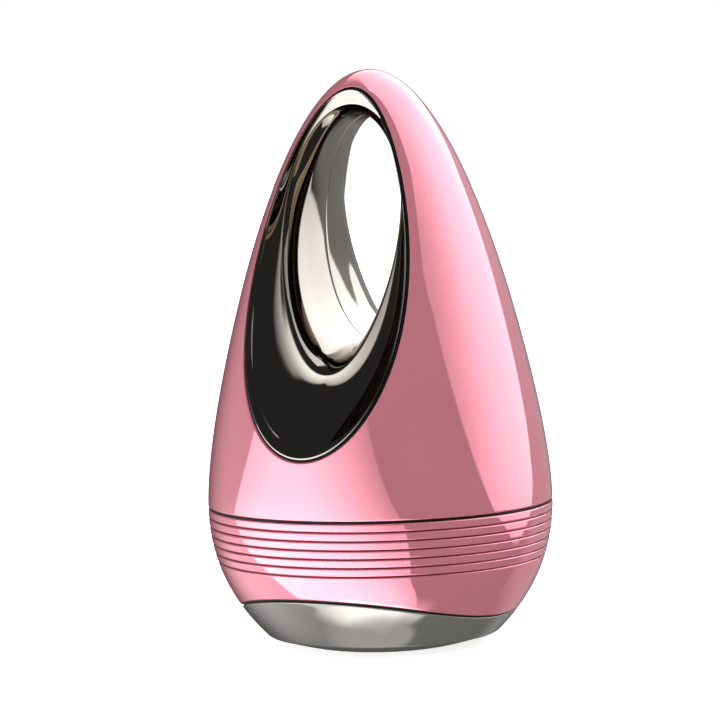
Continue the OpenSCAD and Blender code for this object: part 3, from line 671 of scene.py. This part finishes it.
def upper_shell_mesh(pad_top=31.2, hole_low=27, hole_high=36):
    """The upper shell with the pad behind the button and the round hole for the light ring. The pad ends inside
    the wall, and the hole's tool on both sides of it."""
    form, middle, hole_r = Form(), (0, 0, BUTTON_Z), RING_R + TOUCH
    for turn in (0.0, np.pi):
        upper_shell_half(form, turn)
    pad = closed(turned([(0, PAD_Y), (PAD_R, PAD_Y), (PAD_R, pad_top), (0, pad_top)], middle))
    hole = closed(turned([(0, hole_low), (hole_r, hole_low), (hole_r, hole_high), (0, hole_high)], middle, 128))
    me = cut(cut(form.mesh("upper"), pad.mesh("button_pad"), "UNION"), hole.mesh("ring_hole"))
    follow_skin(me)
    return me


def lower_shell_mesh(pad_w=7.5, pad_low=14.8, pad_high=25.6, pad_end=30.45, tool_low=27, tool_high=40):
    """The lower shell with the pad behind the port, the recess for the cover, the groove its bead turns in and the
    stadium hole for the plug. The pad ends inside the wall, and the tools outside it."""
    pad_outline = [(-pad_w, pad_low), (pad_w, pad_low), (pad_w, pad_high), (-pad_w, pad_high)]
    a, w = full_turn(64), COVER_W / 2 + COVER_GAP
    groove_x = np.array([-w, -w, w, w])[:, None] + 0 * a
    groove_r = (BEAD_R + COVER_GAP) * np.array([0, 1, 1, 0])[:, None]
    groove = np.stack([groove_x, BEAD_Y + groove_r * np.cos(a), HINGE_Z + groove_r * np.sin(a)], -1)
    pad = closed(tube(pad_outline, PORT_PAD_Y, pad_end))
    me = cut(lower_shell_form().mesh("lower"), pad.mesh("port_pad"), "UNION")
    for tool in (tube(recess_outline(), RECESS_Y, tool_high), groove,
                 tube(stadium(PORT_HOLE_W, PORT_HOLE_H, PORT_Z), tool_low, tool_high)):
        me = cut(me, closed(tool).mesh("port_tool"))
    follow_skin(me)
    # Painted shade goes into the grooves.
    mark_grooves(me)
    return me


# Materials

class Sum:
    """A number or colour socket that writes its sums as math nodes."""

    def __init__(self, tree, socket):
        self.tree, self.socket = tree, socket

    def into(self, node, *others):
        """What comes out of the node when this and the others, sockets or plain numbers, go in."""
        for i, v in enumerate((self,) + others):
            if isinstance(v, Sum):
                self.tree.links.new(v.socket, node.inputs[i])
            else:
                node.inputs[i].default_value = v
        return Sum(self.tree, node.outputs[0])

    def math(self, operation, *others):
        n = self.tree.nodes.new("ShaderNodeMath")
        n.operation = operation
        return self.into(n, *others)

    def __add__(self, v):
        return self.math("ADD", v)

    def __sub__(self, v):
        return self.math("SUBTRACT", v)

    def __mul__(self, v):
        return self.math("MULTIPLY", v)

    def most(self, v):
        return self.math("MAXIMUM", v)

    def least(self, v):
        return self.math("MINIMUM", v)

    def step(self, low, high):
        """0 below low and 1 above high, smooth between them; low may be the greater number, for a fall."""
        n = self.tree.nodes.new("ShaderNodeMapRange")
        n.interpolation_type = "SMOOTHSTEP"
        falls = not isinstance(high, Sum) and low > high
        if falls:
            low, high = high, low
        return self.into(n, low, high, float(falls), float(not falls))

    def along(self, points):
        """The height of a run of straight lines through the points, at this number between -360 and 360."""
        n = self.tree.nodes.new("ShaderNodeFloatCurve")
        self.tree.links.new((self + 360.0).math("DIVIDE", 720.0).socket, n.inputs["Value"])
        curve = n.mapping.curves[0]
        points = [(-360, points[0][1])] + points + [(360, points[-1][1])]
        for i, (a, b) in enumerate(points):
            place = (a / 720 + 0.5, b / 720 + 0.5)
            if i in (0, len(points) - 1):
                curve.points[0 if i == 0 else len(curve.points) - 1].location = place
            else:
                curve.points.new(*place)
        for p in curve.points:
            p.handle_type = "VECTOR"
        n.mapping.update()
        return Sum(self.tree, n.outputs[0]) * 720.0 - 360.0


class Finish:
    """A material with its Principled shader and helpers to add textures."""

    def __init__(self, name, **sockets):
        self.material = bpy.data.materials.new(name)
        self.material.use_nodes = True
        self.tree = self.material.node_tree
        self.shader = self.tree.nodes["Principled BSDF"]
        for key, value in sockets.items():
            self.shader.inputs[key.replace("_", " ")].default_value = value

    def feed(self, socket, name):
        self.tree.links.new(socket, self.shader.inputs[name])

    def group(self, name, **values):
        """A node of the named group, its inputs set to the values."""
        g = self.tree.nodes.new("ShaderNodeGroup")
        g.node_tree = GROUPS[name]
        for key, value in values.items():
            g.inputs[key.replace("_", " ")].default_value = value
        return g


GROUPS = {}


def new_group(name, inputs, outputs):
    """A node group with number, colour or vector sockets and its input and output nodes."""
    tree = bpy.data.node_groups.new(name, "ShaderNodeTree")
    kinds = {float: "NodeSocketFloat", tuple: "NodeSocketColor", str: "NodeSocketVector"}
    for key, value in inputs.items():
        s = tree.interface.new_socket(name=key, in_out="INPUT", socket_type=kinds[type(value)])
        s.default_value = value
    for key, kind in outputs.items():
        tree.interface.new_socket(name=key, in_out="OUTPUT", socket_type=kinds[kind])
    GROUPS[name] = tree
    return tree, tree.nodes.new("NodeGroupInput").outputs, tree.nodes.new("NodeGroupOutput").inputs


def noise(tree, scale, detail, roughness=0.5):
    """Noise on Object coordinates in metres."""
    n = tree.nodes.new("ShaderNodeTexNoise")
    tree.links.new(tree.nodes.new("ShaderNodeTexCoord").outputs["Object"], n.inputs["Vector"])
    if isinstance(scale, (int, float)):
        n.inputs["Scale"].default_value = scale
    else:
        tree.links.new(scale, n.inputs["Scale"])
    n.inputs["Detail"].default_value = detail
    n.inputs["Roughness"].default_value = roughness
    return Sum(tree, n.outputs["Fac"])


def mix_colours(tree, share, one, other):
    """The Mix node's colour between one and other, each a socket or a plain colour."""
    n = tree.nodes.new("ShaderNodeMix")
    n.data_type = "RGBA"
    tree.links.new(share.socket, n.inputs[0])
    for value, socket in ((one, n.inputs[6]), (other, n.inputs[7])):
        if isinstance(value, tuple):
            socket.default_value = value
        else:
            tree.links.new(value, socket)
    return n.outputs[2]


def make_groups():
    """Clouding mixes two tones in soft clouds, the painted groove shade brings in a dark tone as painted shade
    where the mesh is marked as groove, and fine wear is a fine uneven roughness with a matching bump."""
    white, black = (1., 1., 1., 1.), (0., 0., 0., 1.)
    tree, i, o = new_group("Clouding", {"Tone": white, "Second tone": white, "Size": 60.0}, {"Colour": tuple})
    share = noise(tree, i["Size"], 3).step(0.3, 0.7)
    tree.links.new(mix_colours(tree, share, i["Tone"], i["Second tone"]), o["Colour"])
    tree, i, o = new_group("Painted groove shade", {"Colour": white, "Deep tone": black}, {"Colour": tuple})
    # Painted shade: the deeper the groove mark, the more the colour turns to the dark tone.
    mark = tree.nodes.new("ShaderNodeAttribute")
    mark.attribute_name = "groove"
    deep = Sum(tree, mark.outputs["Fac"]).step(0.3, 0.8)
    tree.links.new(mix_colours(tree, deep, i["Colour"], i["Deep tone"]), o["Colour"])
    tree, i, o = new_group("Fine wear", {"Roughness": 0.1, "Spread": 0.02, "Size": 900.0, "Depth": 0.00001},
                           {"Roughness": float, "Normal": str})
    grain, soft = noise(tree, i["Size"], 3, 0.6), noise(tree, 90, 2)
    rough = (grain * 0.4 + soft * 0.6 - 0.5) * Sum(tree, i["Spread"]) * 2 + Sum(tree, i["Roughness"])
    tree.links.new(rough.socket, o["Roughness"])
    bump = tree.nodes.new("ShaderNodeBump")
    bump.inputs["Strength"].default_value = 1
    tree.links.new(i["Depth"], bump.inputs["Distance"])
    tree.links.new(grain.socket, bump.inputs["Height"])
    tree.links.new(bump.outputs[0], o["Normal"])


make_groups()


def plain_finish(name, tone, second, roughness, spread, size=900.0, depth=1e-5, cloud=60.0, painted_groove_shade=None,
                 again=None, **sockets):
    """A finish with clouded colour, and fine wear in roughness and bump. A dark tone painted into marked grooves
    stands in for their shade, and again is a painted reflection shade: a darker tone that the metal takes only
    where it is seen mirrored in metal."""
    f = Finish(name, **sockets)
    clouds = f.group("Clouding", Tone=tone + (1,), Second_tone=second + (1,), Size=cloud)
    wear = f.group("Fine wear", Roughness=roughness, Spread=spread, Size=size, Depth=depth)
    colour = clouds.outputs["Colour"]
    if painted_groove_shade:
        shade = f.group("Painted groove shade", Deep_tone=painted_groove_shade + (1,))
        f.tree.links.new(colour, shade.inputs["Colour"])
        colour = shade.outputs["Colour"]
    # Painted reflection shade: where a glossy ray meets the metal, its colour turns to the darker tone.
    if again:
        bounces = Sum(f.tree, f.tree.nodes.new("ShaderNodeLightPath").outputs["Glossy Depth"])
        colour = mix_colours(f.tree, bounces.math("GREATER_THAN", 0.5), colour, again + (1,))
    f.feed(colour, "Base Color")
    f.feed(wear.outputs["Roughness"], "Roughness")
    f.feed(wear.outputs["Normal"], "Normal")
    return f.material


# Painted shade: the dark wine tone laid into the marked grooves of the pink shell and cover in place of their
# shade.
GROOVE_PAINTED_SHADE = (0.2, 0.03, 0.055)
FINISHES = {
    "pink_shell": plain_finish("Pink lacquer", (0.755, 0.262, 0.33), (0.775, 0.272, 0.342), 0.035, 0.01,
                               depth=5e-7, painted_groove_shade=GROOVE_PAINTED_SHADE, Metallic=0.5),
    "black_rubber": plain_finish("Black rubber", (0.004, 0.004, 0.004), (0.007, 0.007, 0.007), 0.45, 0.1, 1500.0,
                                 Specular_IOR_Level=0.12),
    # Its again tone is a painted reflection shade: the chrome seen in chrome is coloured a darker brown.
    "dark_chrome": plain_finish("Dark chrome", (0.285, 0.268, 0.24), (0.297, 0.279, 0.251), 0.045, 0.015,
                                depth=1e-6, again=(0.17, 0.125, 0.085), Metallic=1.0),
    "satin_plate": plain_finish("Satin nickel", (0.212, 0.203, 0.188), (0.225, 0.216, 0.2), 0.095, 0.03, 2500.0,
                                2e-6, Metallic=0.45),
    "button_chrome": plain_finish("Button chrome", (0.6, 0.58, 0.54), (0.63, 0.61, 0.57), 0.08, 0.03,
                                  Metallic=1.0),
    "light_ring": plain_finish("Frosted ring", (0.9, 0.89, 0.87), (0.95, 0.94, 0.92), 0.4, 0.05),
    "pink_rubber": plain_finish("Pink rubber", (0.7, 0.22, 0.29), (0.74, 0.25, 0.32), 0.42, 0.08, 1500.0, 1.5e-5,
                                painted_groove_shade=GROOVE_PAINTED_SHADE),
    "frame_plastic": plain_finish("Frame plastic", (0.05, 0.05, 0.055), (0.07, 0.07, 0.075), 0.5, 0.1, 800.0,
                                  3e-5),
    "battery_foil": plain_finish("Battery foil", (0.6, 0.62, 0.66), (0.66, 0.68, 0.72), 0.3, 0.1, 300.0, 4e-5,
                                 Metallic=1.0),
    "foam": plain_finish("Foam", (0.05, 0.05, 0.05), (0.09, 0.09, 0.09), 0.9, 0.1, 2500.0, 1e-4),
    "lead_sleeve": plain_finish("Lead sleeve", (0.5, 0.03, 0.03), (0.56, 0.05, 0.04), 0.4, 0.08),
    "board": plain_finish("Board lacquer", (0.015, 0.14, 0.06), (0.02, 0.19, 0.085), 0.3, 0.1, 400.0, 2e-5, 400.0),
    "screw_steel": plain_finish("Plated steel", (0.6, 0.6, 0.62), (0.67, 0.67, 0.68), 0.25, 0.1, 1200.0,
                                Metallic=1.0),
    "chip_plastic": plain_finish("Chip plastic", (0.025, 0.025, 0.025), (0.04, 0.04, 0.04), 0.5, 0.1, 1500.0,
                                 3e-5),
    "copper": plain_finish("Copper", (0.72, 0.38, 0.2), (0.78, 0.46, 0.28), 0.3, 0.1, Metallic=1.0),
    "capacitor_can": plain_finish("Capacitor can", (0.55, 0.5, 0.42), (0.62, 0.57, 0.5), 0.3, 0.08, Metallic=1.0),
    "gold_contact": plain_finish("Gold contact", (0.85, 0.62, 0.25), (0.9, 0.7, 0.35), 0.2, 0.06, Metallic=1.0),
    "switch_cap": plain_finish("Switch cap", (0.75, 0.66, 0.48), (0.82, 0.74, 0.56), 0.45, 0.1, 1500.0),
}

slot_of = {part["node"]: part["material_slot"] for part in frame["record"]["subparts"]}
for name, obj in frame["nodes"].items():
    obj.data.materials.clear()
    obj.data.materials.append(FINISHES[slot_of[name]])


# Pieces

piece("upper_shell_moulding", upper_shell_mesh(), "pink_shell", ["upper_shell"])
piece("lower_shell_moulding", lower_shell_mesh(), "pink_shell", ["lower_shell"])
piece("power_button_cap", power_button_form(), "button_chrome", ["power_button"], "button")
piece("light_ring_band", light_ring_form(), "light_ring", ["indicator_ring"])
piece("port_cover_rubber", port_cover_mesh(), "pink_rubber", ["port_cover"], "cover")
piece("treatment_plate_cup", treatment_plate_form(), "satin_plate", ["treatment_plate"])
for side in ("front", "rear"):
    for kind, form, slot in (("liner", liner_form, "dark_chrome"),
                             ("liner_gasket", liner_gasket_form, "black_rubber")):
        name = f"{side}_{kind}"
        piece(name + "_shape", half_turn(form()) if side == "rear" else form(), slot, [name])
piece("seam_gasket_band", seam_gasket_form(), "black_rubber", ["seam_gasket"])
piece("plate_gasket_band", plate_gasket_form(), "black_rubber", ["plate_gasket"])


# Camera, light and floor

def set_camera():
    """The photograph's view: azimuth 27 degrees, elevation 4.17, 600 mm from a point 54 mm up, rolled 1.61."""
    az, el, far, roll = np.radians(27), np.radians(4.17), 0.6, np.radians(1.61)
    target = Vector((0, 0, 0.054))
    place = target + far * Vector((np.cos(el) * np.sin(az), -np.cos(el) * np.cos(az), np.sin(el)))
    data = bpy.data.cameras.new("camera")
    data.lens, data.sensor_width = 159.3, 36
    data.shift_x, data.shift_y = (360 - 376.4) / 720, (356.9 - 360) / 720
    cam = bpy.data.objects.new("camera", data)
    bpy.context.scene.collection.objects.link(cam)
    look = (target - place).to_track_quat("-Z", "Y").to_matrix().to_4x4()
    cam.matrix_world = Matrix.Translation(place) @ look @ Matrix.Rotation(-roll, 4, "Z")
    bpy.context.scene.camera = cam


def front_panel(az, el):
    """The light of the big panel before the device, and what lies left of its right edge. The panel has two
    leaning edges and a top that falls to the left. It brightens away from its right edge, up to a limit."""
    from_right = el.along([(-90, 95), (-66, 72), (-52, 57), (-46, 51), (-9, 43), (6, 30), (16, 20), (30, 13),
                           (40, 7), (50, -2), (90, -60)]) - az
    from_left = az - el.along([(-90, -34), (-46, -62), (-38, -66), (-30, -71), (-20, -80), (-9, -87), (-6, -89),
                               (7.5, -72), (50, -18), (90, 30)])
    top = az.along([(-90, 10), (-70, 12), (-55, 15), (-45, 18), (-36, 22), (-28, 27), (-20, 34), (-10, 40),
                    (90, 40)])
    inside = from_right.step(0.0, 1.5)
    light = (from_right + el.along([(-90, 16), (-58, 16), (-30, 9), (-8, 0), (90, 0)])).along(
        [(0, 0.55), (20, 2.05), (42, 3.6), (72, 4.8), (100, 5.4), (135, 5.6)])
    light = light.least(el.along([(-90, 5.5), (-17, 5.5), (-12, 5.2), (-9, 4.9), (-4.5, 4.4), (-1, 4.2),
                                  (90, 4.2)]))
    light = light * el.along([(-90, 0), (-79, 0), (-71, .9), (-48, .92), (-36, 1), (-8, 1), (3, .9), (10, .85),
                              (15, .72), (20, .55), (27, .36), (32, .33), (38, 0)])
    left_fade = (from_left.along([(0, .64), (28, 1)]) - 1.0) * el.step(-24.0, -14.0) + 1.0
    light = light * left_fade * (top - el).step(-2.5, 2.5)
    softness = el.along([(-90, 20), (-50, 5), (-15, 3), (90, 2)])
    return light * inside * from_left.step(0.0, softness), inside


def table_light(az, el, inside):
    """The pale table: what lies left of the front panel's right edge, what lies steeply below, and a bright strip
    steeply below the front."""
    strip = el.along([(-90, .2), (-84, .22), (-80, .28), (-77, .36), (-74, .6), (-70, 1), (90, 1)]) * az.along(
        [(-75, 0), (-60, .2), (-45, .55), (-30, .8), (-15, .95), (0, 1), (45, 1), (65, .6), (80, .45), (89, .35),
         (92, 0)])
    strip = strip * (az.along([(-10, -56), (10, -60), (30, -63), (60, -64)]) - el).step(0.0, 2.5) * 9.5
    table = el.along([(-90, .4), (-60, .9), (-40, 1.8), (-18, 1.8), (-8, 1), (-3, .7), (10, .5), (15, 0)])
    below = el.along([(-90, 1.6), (-74, 1.6), (-66, 1.2), (-57, 0)])
    below = below * az.step(95.0, 78.0).most(el.step(-75.0, -79.0))
    return (table * inside * az.step(-135.0, -88.0)).most(below).most(strip)


def rear_panel(round_az, el):
    """The panel behind the device. Its low edge rises with the azimuth, and its level evens out high up."""
    left_edge = el.along([(-90, 160), (-20, 130), (-9, 111), (-6, 107), (27, 73), (35, 79), (42, 86), (58, 88),
                          (66, 88), (90, 90)])
    low_edge = round_az.along([(120, -22), (136, -21), (141, -15), (145, -10.5), (149, -4.5), (153, 2), (157, 6),
                               (160, 10), (165, 14.5), (180, 15), (195, 13), (210, 24), (235, 42)])
    softness = round_az.along([(140, 5), (150, 2)])
    inside = (round_az - left_edge).step(0.0, 1.5) * (el - low_edge).step(0.0, softness)
    high = el.along([(30, 0), (45, .3), (65, .6), (80, .95), (90, 1)])
    level = round_az.along([(70, .6), (82, .8), (95, 1.4), (109, 2.4), (116, 2.85), (125, 3.3), (150, 3.7),
                            (165, 4.1), (185, 4.5), (195, 3.2), (215, 2.6), (240, 0)])
    level = level * (high * -1.0 + 1.0) + high * 2.4
    return inside * round_az.step(248.0, 226.0) * level * el.along([(-15, .55), (-8, .62), (0, .78), (12, .9),
                                                                    (20, 1)])


def set_world(gain=0.87, ambient=0.05):
    """A dim studio with two big panels, a faint wall and a pale table, as patches of directions: azimuth from -Y
    towards +X, and elevation; round_az is the azimuth from -100 to 260. Glossy surfaces see the panels, matt ones
    an even soft light, and the camera a plain backdrop."""
    world = bpy.data.worlds.new("studio")
    bpy.context.scene.world = world
    world.use_nodes = True
    t = world.node_tree
    split = t.nodes.new("ShaderNodeSeparateXYZ")
    t.links.new(t.nodes.new("ShaderNodeTexCoord").outputs["Generated"], split.inputs[0])
    x, y, z = (Sum(t, s) for s in split.outputs)
    az = x.math("ARCTAN2", y * -1.0).math("DEGREES")
    el = z.math("ARCSINE").math("DEGREES")
    round_az = az + az.math("LESS_THAN", -100.0) * 360.0
    front, inside = front_panel(az, el)
    wall = round_az.along([(142, 0), (150, .42), (183, .42), (200, 0)])
    wall = wall * el.along([(-40, 0), (-30, 1), (0, 1), (5, 1.2), (10, 1.6), (20, 1.6), (30, 0)])
    glow = front.most(table_light(az, el, inside)).most(rear_panel(round_az, el)).most(wall) * gain + ambient
    even = el.along([(-90, 0.85), (0, 1.2), (90, 1.35)])

    def light(strength, colour):
        n = t.nodes.new("ShaderNodeBackground")
        n.inputs["Color"].default_value = colour
        if strength:
            t.links.new(strength.socket, n.inputs["Strength"])
        return n.outputs[0]

    ray = t.nodes.new("ShaderNodeLightPath").outputs
    white = (1, 1, 1, 1)
    surface = light(even, white)
    for kind, seen in (("Is Glossy Ray", light(glow, (1, 0.985, 0.99, 1))), ("Is Camera Ray", light(None, white))):
        mix = t.nodes.new("ShaderNodeMixShader")
        for i, socket in enumerate((ray[kind], surface, seen)):
            t.links.new(socket, mix.inputs[i])
        surface = mix.outputs[0]
    t.links.new(surface, t.nodes["World Output"].inputs["Surface"])


def set_floor(half=4.0):
    """A plain pale floor. It is left out of reflections, as in a light tent, and lets the low light through."""
    me = bpy.data.meshes.new("floor")
    me.from_pydata([(-half, -half, 0), (half, -half, 0), (half, half, 0), (-half, half, 0)], [], [(0, 1, 2, 3)])
    floor = bpy.data.objects.new("floor", me)
    bpy.context.scene.collection.objects.link(floor)
    f = Finish("Floor paper", Base_Color=(0.9, 0.9, 0.9, 1), Roughness=0.9, Specular_IOR_Level=0,
               Emission_Color=(1, 1, 1, 1), Emission_Strength=0.62)
    me.materials.append(f.material)
    floor.visible_glossy = floor.visible_diffuse = floor.visible_shadow = False


set_camera()
set_world()
set_floor()
bpy.context.scene.view_settings.view_transform = "Standard"
